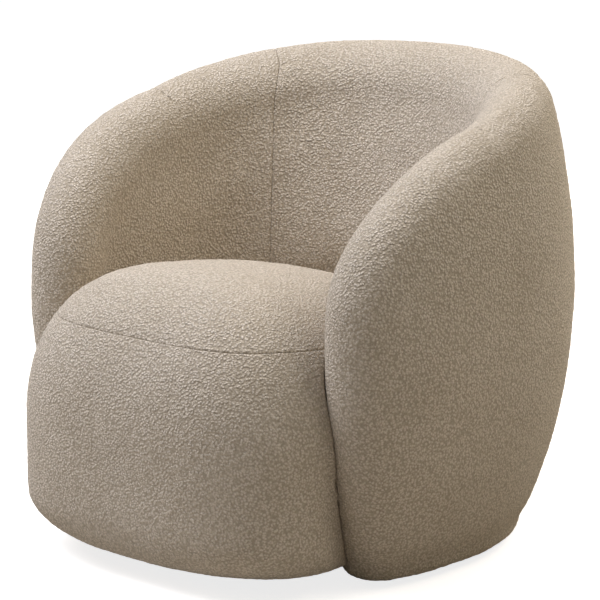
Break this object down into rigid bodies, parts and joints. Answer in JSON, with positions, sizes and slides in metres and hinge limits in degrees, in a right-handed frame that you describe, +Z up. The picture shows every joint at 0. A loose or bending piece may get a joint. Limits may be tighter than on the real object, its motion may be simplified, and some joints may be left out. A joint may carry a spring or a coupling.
{
  "type": "tub chair",
  "caption": "Low round tub chair with a thick curved back and arms in one sweep round a plump seat block, covered all over in looped cloth.",
  "frame": {"origin": "on the floor under the middle of the bounding box", "axes": "+Z up, the sitter faces -Y, +X is the sitter's left"},
  "size_m": [0.8354, 0.83, 0.747],
  "materials": {
    "boucle": "looped boucle, matt, warm greige",
    "foam": "open-cell foam, pale cream",
    "fibre": "white polyester wadding and felt",
    "plywood": "raw birch plywood",
    "lining_board": "thin curved lining board",
    "webbing": "woven elastic webbing, dark grey",
    "cambric": "black non-woven dust cloth",
    "steel": "zinc-plated steel",
    "nylon": "black moulded nylon"
  },
  "bodies": {
    "root": {"outer_cover": "boucle", "inner_back_cover": "boucle", "inner_arm_cover_left": "boucle", "inner_arm_cover_right": "boucle", "seat_top_cover": "boucle", "seat_band_cover": "boucle", "tub_outer_foam": "foam", "inner_back_foam": "foam", "inner_arm_foam_left": "foam", "inner_arm_foam_right": "foam", "rim_foam": "foam", "seat_border_foam": "foam", "seat_cushion_foam": "foam", "seat_fibre_wrap": "fibre", "seat_insulator": "fibre", "tub_base_rail": "plywood", "tub_middle_rail": "plywood", "tub_top_rail": "plywood", "back_rib_centre": "plywood", "back_rib_left": "plywood", "back_rib_right": "plywood", "shoulder_rib_left": "plywood", "shoulder_rib_right": "plywood", "side_rib_left": "plywood", "side_rib_right": "plywood", "arm_front_rib_left": "plywood", "arm_front_rib_right": "plywood", "seat_base_board": "plywood", "seat_side_rail_left": "plywood", "seat_side_rail_right": "plywood", "seat_front_rail": "plywood", "seat_rear_rail": "plywood", "seat_front_post_left": "plywood", "seat_front_post_right": "plywood", "seat_rear_post_left": "plywood", "seat_rear_post_right": "plywood", "tub_outer_lining": "lining_board", "back_webbing_1": "webbing", "back_webbing_2": "webbing", "back_webbing_3": "webbing", "back_webbing_4": "webbing", "tub_dust_cover": "cambric", "seat_dust_cover": "cambric", "spring_clip_front": "steel", "spring_clip_rear": "steel", "seat_spring_1": "steel", "seat_spring_2": "steel", "seat_spring_3": "steel", "seat_spring_4": "steel", "seat_spring_5": "steel", "frame_bolt_left_1": "steel", "frame_bolt_left_2": "steel", "frame_bolt_right_1": "steel", "frame_bolt_right_2": "steel", "front_glide_left": "nylon", "front_glide_right": "nylon", "rear_glide_left": "nylon", "rear_glide_right": "nylon"}
  },
  "joints": []
}
